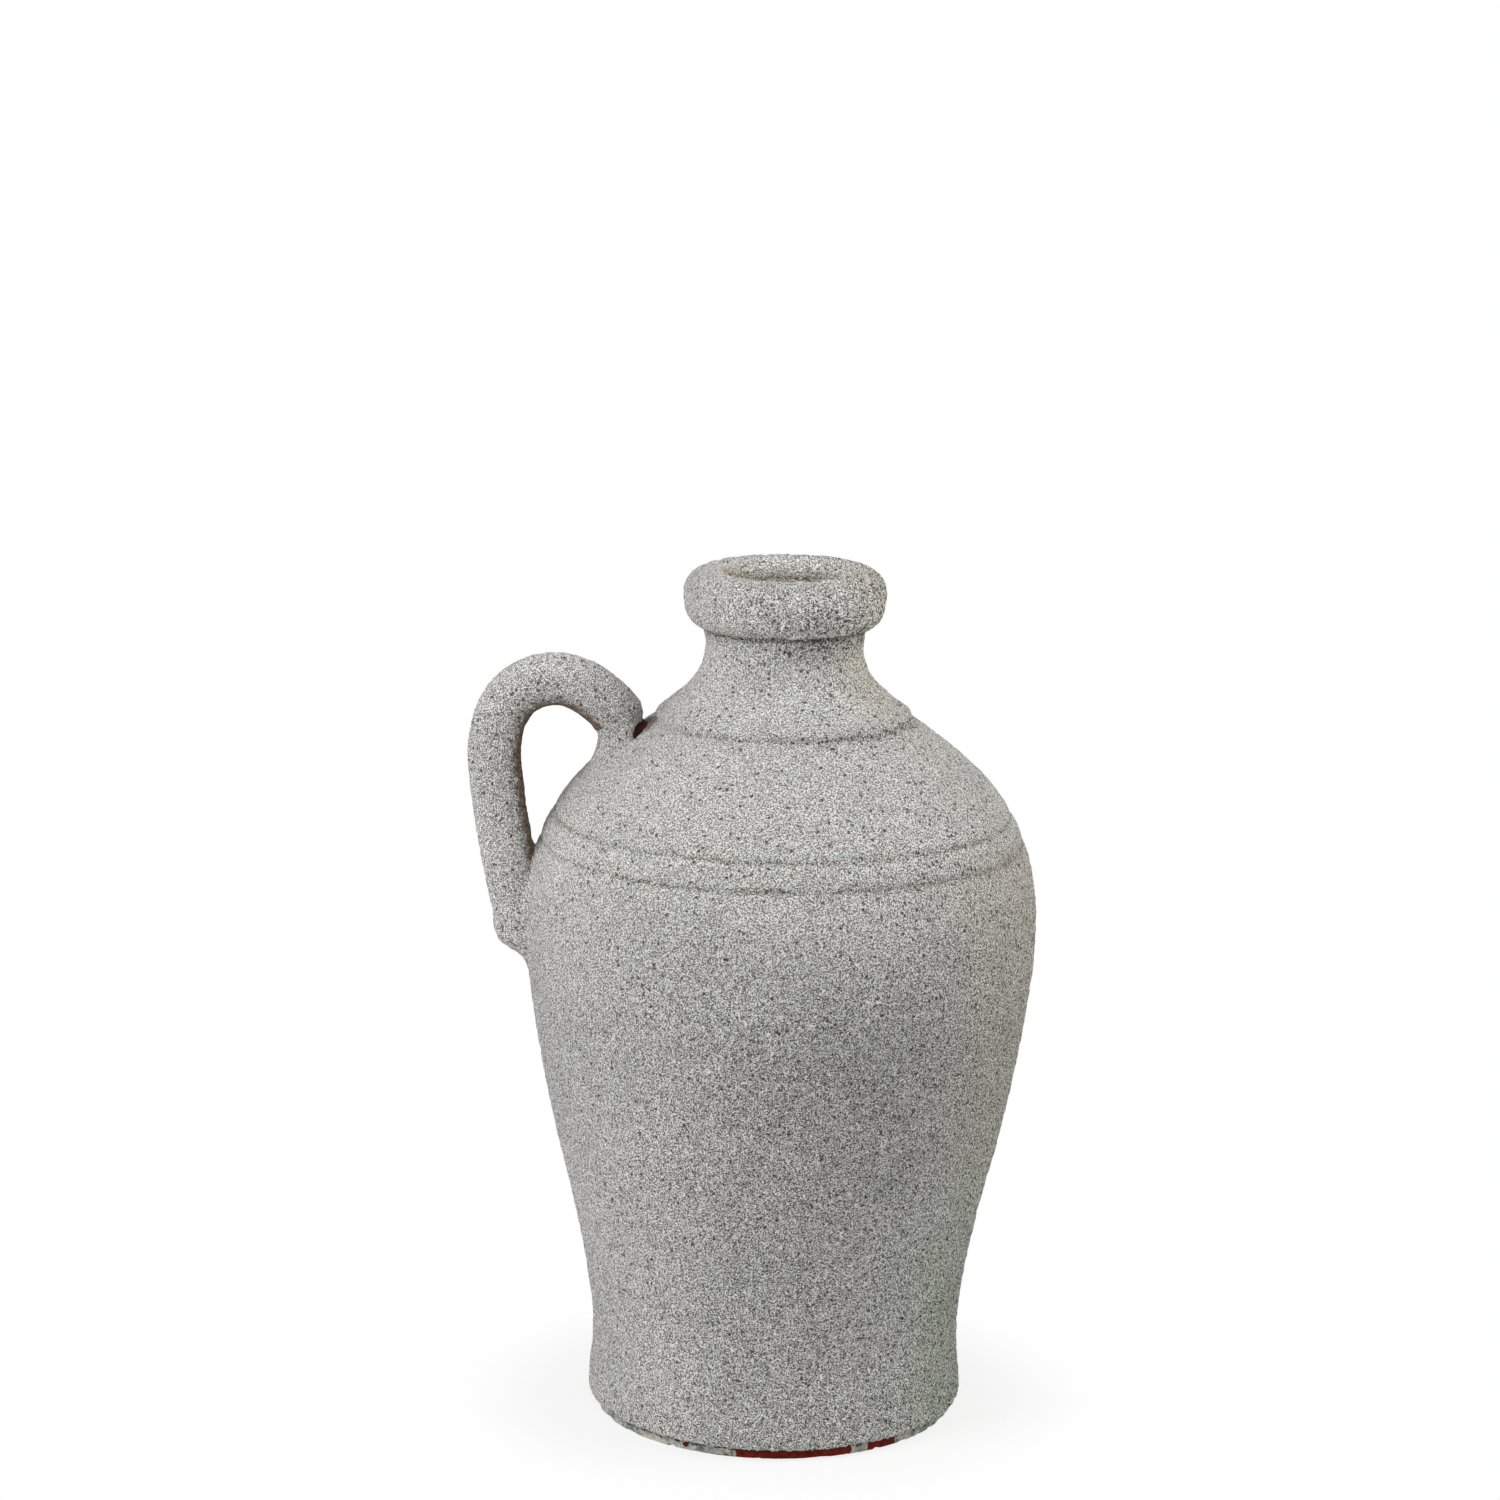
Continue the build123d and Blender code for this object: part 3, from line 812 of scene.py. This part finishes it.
# Bump of the coat's material: how near its middle a noise makes a ridge, and how high grains and holes
# stand beside one. The share of spots that have a hole grows with the pits.
RIDGE_ENDS, GRAINS_HIGH, HOLES_HIGH = (0.0, 0.12), 1.4, -0.9
HOLES_PER_METRE, HOLE_EDGE, HOLES_MORE, HOLES_LEAST = 760.0, (0.26, 0.58), 0.44, 0.16

# Where the speckle turns from dark to light, how much ridges add to it, and its contrast, which grows
# with coarseness. ENDS are the two values that a ramp runs between, and SHARES what it gives there.
# The speckle's dark in low places is partly the grit's own colour and partly painted shade
SPECKLE_ENDS, SPECKLE_RIDGES, CONTRAST_MORE, CONTRAST_LEAST = (0.38, 0.655), 0.07, 0.30, 0.70
CLOUD_ENDS, MOSS_ENDS, MOSS_SHARES = (0.38, 0.62), (0.36, 0.66), (0.25, 0.75)
SHADE_LINE_ENDS, SHADE_LINE_SHARES = (0.58, 0.36), (0.25, 1.0)
THIN_COAT_MORE, THIN_COAT_ENDS, THIN_COAT_SHARES = 1.6, (1.0, 1.7), (0.0, 0.85)
YELLOW_ENDS, YELLOW_SHARES = (0.62, 0.40), (0.2, 0.9)

# Colours of the coat's grains with their warm and green tints, of its holes, stains and painted shade, and
# how strongly some of them show
DARK, DARK_WARM, DARK_GREEN = rgb(98, 95, 89), rgb(98, 90, 74), rgb(86, 91, 78)
PALE, WHITE = rgb(240, 240, 238), rgb(250, 249, 247)
PALE_WARM, PALE_GREEN = rgb(240, 234, 216), rgb(222, 228, 212)
HOLE_SHADE_BROWN, SHADE_LINE_BROWN, THIN_COAT_AND_SHADE_BROWN = rgb(70, 60, 46), rgb(98, 78, 56), rgb(114, 88, 62)
THROAT_GREY, MOUTH_YELLOW, CREVICE_CLAY_AND_SHADE_BROWN = rgb(158, 142, 118), rgb(172, 144, 88), rgb(120, 88, 66)
HOLE_SHADE_SHARE, THROAT_SHARE, CREVICE_SHARE, WARM_SHARE = 0.8, 0.45, 0.7, 0.5


def grit_colour(m, coarse, grains, ridges):
    """Dark and light grains, the dark partly painted shade, with painted warm light and green tints, before
    holes, stains and painted shade.
    """
    warm_light, green = m.read("warm_light"), m.read("green")
    speckle = m.math("MULTIPLY_ADD", ridges, m.math("MULTIPLY", coarse, SPECKLE_RIDGES), grains)
    contrast = m.math("MULTIPLY_ADD", coarse, CONTRAST_MORE, CONTRAST_LEAST)
    high = m.math("MULTIPLY_ADD", contrast, 0.5, 0.5)
    share = m.ramp(speckle, *SPECKLE_ENDS, m.math("SUBTRACT", 1.0, high), high)
    dark = m.mix(green, m.mix(warm_light, DARK, DARK_WARM), DARK_GREEN)
    light = m.mix(m.ramp(m.noise(*CLOUDS), *CLOUD_ENDS), PALE, WHITE)
    light = m.mix(m.math("MULTIPLY", warm_light, WARM_SHARE), light, PALE_WARM)
    patchy = m.math("MULTIPLY", green, m.ramp(m.noise(*MOSS), *MOSS_ENDS, *MOSS_SHARES))
    light = m.mix(patchy, light, PALE_GREEN)
    # scaled by the base tone with its painted light and painted shade
    return m.scale(m.mix(share, dark, light), m.read("tone_and_painted_light"))


def grit_material():
    """Sandy coat: fine grains, worm-like ridges where it is coarse, pits, stains and painted shade."""
    m = Nodes("grit_coat")
    coarse, grains = m.read("coarse"), m.noise(*GRAINS)
    off_middle = m.math("ABSOLUTE", m.math("SUBTRACT", m.noise(*WINDING), NOISE_MIDDLE))
    ridges = m.ramp(off_middle, *RIDGE_ENDS, 1.0, 0.0)
    distance, chance = m.cells(HOLES_PER_METRE)
    density = m.math("MULTIPLY_ADD", m.read("pits"), HOLES_MORE, HOLES_LEAST)
    holes = m.math("MULTIPLY", m.ramp(distance, *HOLE_EDGE, 1.0, 0.0), m.math("LESS_THAN", chance, density))
    height = m.math("MULTIPLY_ADD", ridges, coarse, m.math("MULTIPLY", grains, GRAINS_HIGH))
    height = m.math("MULTIPLY_ADD", holes, HOLES_HIGH, height)

    colour = grit_colour(m, coarse, grains, ridges)
    # painted shade lines in the grooves, at the neck's foot and under the lip
    shade_line = m.math("MULTIPLY", m.read("line"), m.ramp(grains, *SHADE_LINE_ENDS, *SHADE_LINE_SHARES))
    # browner, thin coat on the handle's inner side, darkened with painted shade
    thin_coat_and_shade = m.math("MULTIPLY_ADD", m.noise(*THIN_COAT_SPOTS), THIN_COAT_MORE, m.read("inner"))
    yellow = m.math("MULTIPLY", m.read("yellow"), m.ramp(grains, *YELLOW_ENDS, *YELLOW_SHARES))
    for share, stain_and_shade in (
        # painted shade in the holes
        (m.math("MULTIPLY", holes, HOLE_SHADE_SHARE), HOLE_SHADE_BROWN),
        (shade_line, SHADE_LINE_BROWN),
        (m.ramp(thin_coat_and_shade, *THIN_COAT_ENDS, *THIN_COAT_SHARES), THIN_COAT_AND_SHADE_BROWN),
        (m.math("MULTIPLY", m.read("throat"), THROAT_SHARE), THROAT_GREY),
        (yellow, MOUTH_YELLOW),
        # bare clay and painted shade in the crevice at the handle's root
        (m.math("MULTIPLY", m.read("crevice"), CREVICE_SHARE), CREVICE_CLAY_AND_SHADE_BROWN),
    ):
        colour = m.mix(share, colour, stain_and_shade)
    return m.finish(colour, GRIT_ROUGHNESS, m.bump(height, GRIT_BUMP))


# Colours of the clay that shows where the coat ends, and of the clay at the root darkened with painted shade
CLAY_TONES, SHADED_CLAY_TONES = (rgb(120, 62, 42), rgb(146, 84, 60)), (rgb(30, 12, 7), rgb(70, 30, 18))
CLAY_ENDS = (0.35, 0.65)


def clay_material(name, dark, light):
    """Bare clay between two tones."""
    m = Nodes(name)
    fine = m.noise(*CLAY_FINE)
    colour = m.mix(m.ramp(m.noise(*CLAY_PATCHES), *CLAY_ENDS), dark, light)
    return m.finish(colour, CLAY_ROUGHNESS, m.bump(fine, CLAY_BUMP))


# Where the slip is torn down to the clay: how much a noise adds to the mask of bare places, what is
# taken off their sum, and the ends of the bare clay and of the torn rim round it
TEARS_MORE, TORN_LESS, BARE_ENDS, RIM_ENDS, RIM_SHARE = 2.4, 1.2, (-0.12, 0.12), (-0.75, -0.15), 0.7
SLIP_ENDS, CRACK_ENDS, CRACK_SHARES = (0.38, 0.62), (0.030, 0.010), (0.0, 0.85)
FOOT_GRAIN_HIGH, SLIP_HIGH = 0.5, 0.6

# Colours of the foot, and the height in metres where its edge takes a painted shadow under the coat
CLAY_DEEP, CLAY_RED = rgb(96, 20, 10), rgb(134, 36, 20)
SLIP_DULL, SLIP_PALE = rgb(148, 154, 144), rgb(214, 217, 208)
CRACK_GREY, TORN_EDGE, SHADE_GREY = rgb(52, 54, 44), rgb(212, 206, 176), rgb(38, 36, 30)
SHADE_UNDER_COAT, SHADE_RAGGED, SHADE_SHARES = (0.0025, 0.0033), 0.004, (0.0, 0.9)


def foot_material():
    """Deep red bare clay, and the pale slip that still covers most of the foot's edge."""
    m = Nodes("foot_slip")
    fine = m.noise(*FOOT_FINE)
    torn = m.math("MULTIPLY_ADD", m.noise(*TEARS), TEARS_MORE, m.math("SUBTRACT", m.read("bare"), TORN_LESS))
    bare = m.ramp(torn, *BARE_ENDS)
    rim = m.math("MULTIPLY", m.ramp(torn, *RIM_ENDS), m.math("SUBTRACT", 1.0, bare))
    clay = m.mix(m.ramp(fine, *CLAY_ENDS), CLAY_DEEP, CLAY_RED)
    slip = m.mix(m.ramp(m.noise(*SLIP_CLOUDS), *SLIP_ENDS), SLIP_DULL, SLIP_PALE)
    crack = m.math("ABSOLUTE", m.math("SUBTRACT", m.noise(*CRACKS), NOISE_MIDDLE))
    slip = m.mix(m.ramp(crack, *CRACK_ENDS, *CRACK_SHARES), slip, CRACK_GREY)
    slip = m.mix(m.math("MULTIPLY", rim, RIM_SHARE), slip, TORN_EDGE)
    colour = m.mix(bare, slip, clay)
    # Painted shadow under the coat's edge, with a ragged top
    high = m.math("MULTIPLY_ADD", m.math("SUBTRACT", fine, NOISE_MIDDLE), SHADE_RAGGED, m.split()[2])
    colour = m.mix(m.ramp(high, *SHADE_UNDER_COAT, *SHADE_SHARES), colour, SHADE_GREY)
    grain = m.math("MULTIPLY", fine, FOOT_GRAIN_HIGH)
    height = m.math("SUBTRACT", grain, m.math("MULTIPLY", bare, SLIP_HIGH))
    return m.finish(colour, SLIP_ROUGHNESS, m.bump(height, SLIP_BUMP))


# Colour of the floor, the share of it that shows as plain white near the jug and further out, and the
# radii of the change
FLOOR_PALE = rgb(244, 244, 244)
WHITE_SHARES, WHITE_RADII = (0.8, 1.0), (0.068, 0.125)


def floor_material():
    """Pale floor that takes the jug's shadow near it and is white to the camera further out."""
    m = Nodes("floor_white")
    m.shader.inputs["Base Color"].default_value = FLOOR_PALE
    m.shader.inputs["Roughness"].default_value = FLOOR_ROUGHNESS
    m.shader.inputs["Specular IOR Level"].default_value = 0.0
    white = m.tree.nodes.new("ShaderNodeEmission")
    white.inputs["Color"].default_value = (1, 1, 1, 1)
    mixed = m.tree.nodes.new("ShaderNodeMixShader")
    x, y, _ = m.split()
    radius = m.math("SQRT", m.math("MULTIPLY_ADD", x, x, m.math("MULTIPLY", y, y)))
    path = m.tree.nodes.new("ShaderNodeLightPath")
    seen = m.math("MAXIMUM", path.outputs["Is Camera Ray"], path.outputs["Is Glossy Ray"])
    shares = m.math("MULTIPLY", m.ramp(radius, *WHITE_RADII, *WHITE_SHARES), seen)
    for socket, value in zip(mixed.inputs, (shares, m.shader.outputs[0], white.outputs[0])):
        m.tree.links.new(value, socket)
    m.tree.links.new(mixed.outputs[0], m.out.inputs[0])
    return m.material


def dress(obj, material):
    """Give an object one material in place of its own."""
    obj.data.materials.clear()
    obj.data.materials.append(material)


# Pieces, their materials and what they stand for
skin, handle, foot = coat_skin(), coat_handle(), foot_edge()
grit = grit_material()
clay = clay_material("bare_clay", *CLAY_TONES)
shaded_clay = clay_material("dark_clay", *SHADED_CLAY_TONES)
for obj, material, slot in ((skin, grit, "grit"), (handle, grit, "grit"), (foot, foot_material(), "clay")):
    dress(obj, material)
    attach(obj, "root")
for name in ("belly_wall", "shoulder_dome", "neck_collar", "lip_roll", "handle_roll", "handle_tail_wad"):
    dress(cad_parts[name], clay)
# The root's clay is bare clay darkened with painted shade under the roll's overhang
dress(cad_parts["handle_root_wad"], shaded_clay)
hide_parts("belly_coat", "shoulder_coat", "neck_coat", "lip_coat")
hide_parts("handle_coat", "root_coat", "tail_coat")
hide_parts("foot_slab")


# Floor
FLOOR_HALF = 6.0
corners = [(x * FLOOR_HALF, y * FLOOR_HALF, 0) for x, y in ((-1, -1), (1, -1), (1, 1), (-1, 1))]
ground = bpy.data.meshes.new("floor")
ground.from_pydata(corners, [], [(0, 1, 2, 3)])
floor = bpy.data.objects.new("floor", ground)
bpy.context.scene.collection.objects.link(floor)
dress(floor, floor_material())

# Light: the world's strength, and the name, place, size, power and colour of each lamp
WORLD_LIGHT = 0.06
WHITE_LIGHT = (1, 1, 1)
LAMPS = (
    ("key", (-1.1, -0.7, 1.5), 0.8, 14.5, WHITE_LIGHT),
    ("top", (0.0, 0.1, 1.7), 1.1, 4.6, WHITE_LIGHT),
    ("right_top", (1.1, -0.3, 1.5), 0.9, 11.9, WHITE_LIGHT),
    ("front_up", (-0.1, -1.6, 1.4), 0.9, 5.3, WHITE_LIGHT),
    ("left_low", (-1.8, -0.5, 0.5), 1.0, 5.7, WHITE_LIGHT),
    ("right_side", (1.8, 0.3, 0.9), 1.0, 5.6, (1.0, 0.99, 0.94)),
    ("left_back", (-1.4, 0.8, 1.0), 1.0, 3.4, WHITE_LIGHT),
)
AIM = (0, 0, 0.16)


def studio_world(strength):
    """Even light from a world that the camera and glossy rays see as white."""
    world = bpy.data.worlds.new("studio")
    bpy.context.scene.world = world
    world.use_nodes = True
    tree = world.node_tree
    white = tree.nodes["Background"]
    white.inputs["Color"].default_value = (1, 1, 1, 1)
    lit = tree.nodes.new("ShaderNodeBackground")
    lit.inputs["Color"].default_value = (1, 1, 1, 1)
    lit.inputs["Strength"].default_value = strength
    path = tree.nodes.new("ShaderNodeLightPath")
    seen = tree.nodes.new("ShaderNodeMath")
    seen.operation = "MAXIMUM"
    tree.links.new(path.outputs["Is Camera Ray"], seen.inputs[0])
    tree.links.new(path.outputs["Is Glossy Ray"], seen.inputs[1])
    choose = tree.nodes.new("ShaderNodeMixShader")
    for socket, value in zip(choose.inputs, (seen.outputs[0], lit.outputs[0], white.outputs[0])):
        tree.links.new(value, socket)
    tree.links.new(choose.outputs[0], tree.nodes["World Output"].inputs[0])


def lamp(name, place, size, power, colour):
    """A round soft lamp that looks at the jug."""
    data = bpy.data.lights.new(name, "AREA")
    data.shape = "DISK"
    data.size, data.energy, data.color = size, power, colour
    obj = bpy.data.objects.new(name, data)
    bpy.context.scene.collection.objects.link(obj)
    obj.location = place
    obj.rotation_mode = "QUATERNION"
    obj.rotation_quaternion = (Vector(AIM) - Vector(place)).to_track_quat("-Z", "Y")


studio_world(WORLD_LIGHT)
for settings in LAMPS:
    lamp(*settings)

# Camera of the photograph, solved from the ellipses of the mouth, grooves and foot
LENS, SENSOR = 101.92, 36.0
CLIP_START, CLIP_END = 0.05, 20.0
EYE = (-0.1261, -1.4416, 0.5372)
FORWARD = Vector((0.0776, 0.9760, -0.2035)).normalized()
CAMERA_ROLL = 0.01318
data = bpy.data.cameras.new("camera")
data.lens, data.sensor_width = LENS, SENSOR
data.clip_start, data.clip_end = CLIP_START, CLIP_END
camera = bpy.data.objects.new("camera", data)
bpy.context.scene.collection.objects.link(camera)
aim = FORWARD.to_track_quat("-Z", "Y").to_matrix()
camera.matrix_world = Matrix.Translation(EYE) @ (aim @ Matrix.Rotation(CAMERA_ROLL, 3, "Z")).to_4x4()
bpy.context.scene.camera = camera
bpy.context.scene.view_settings.view_transform = "Standard"
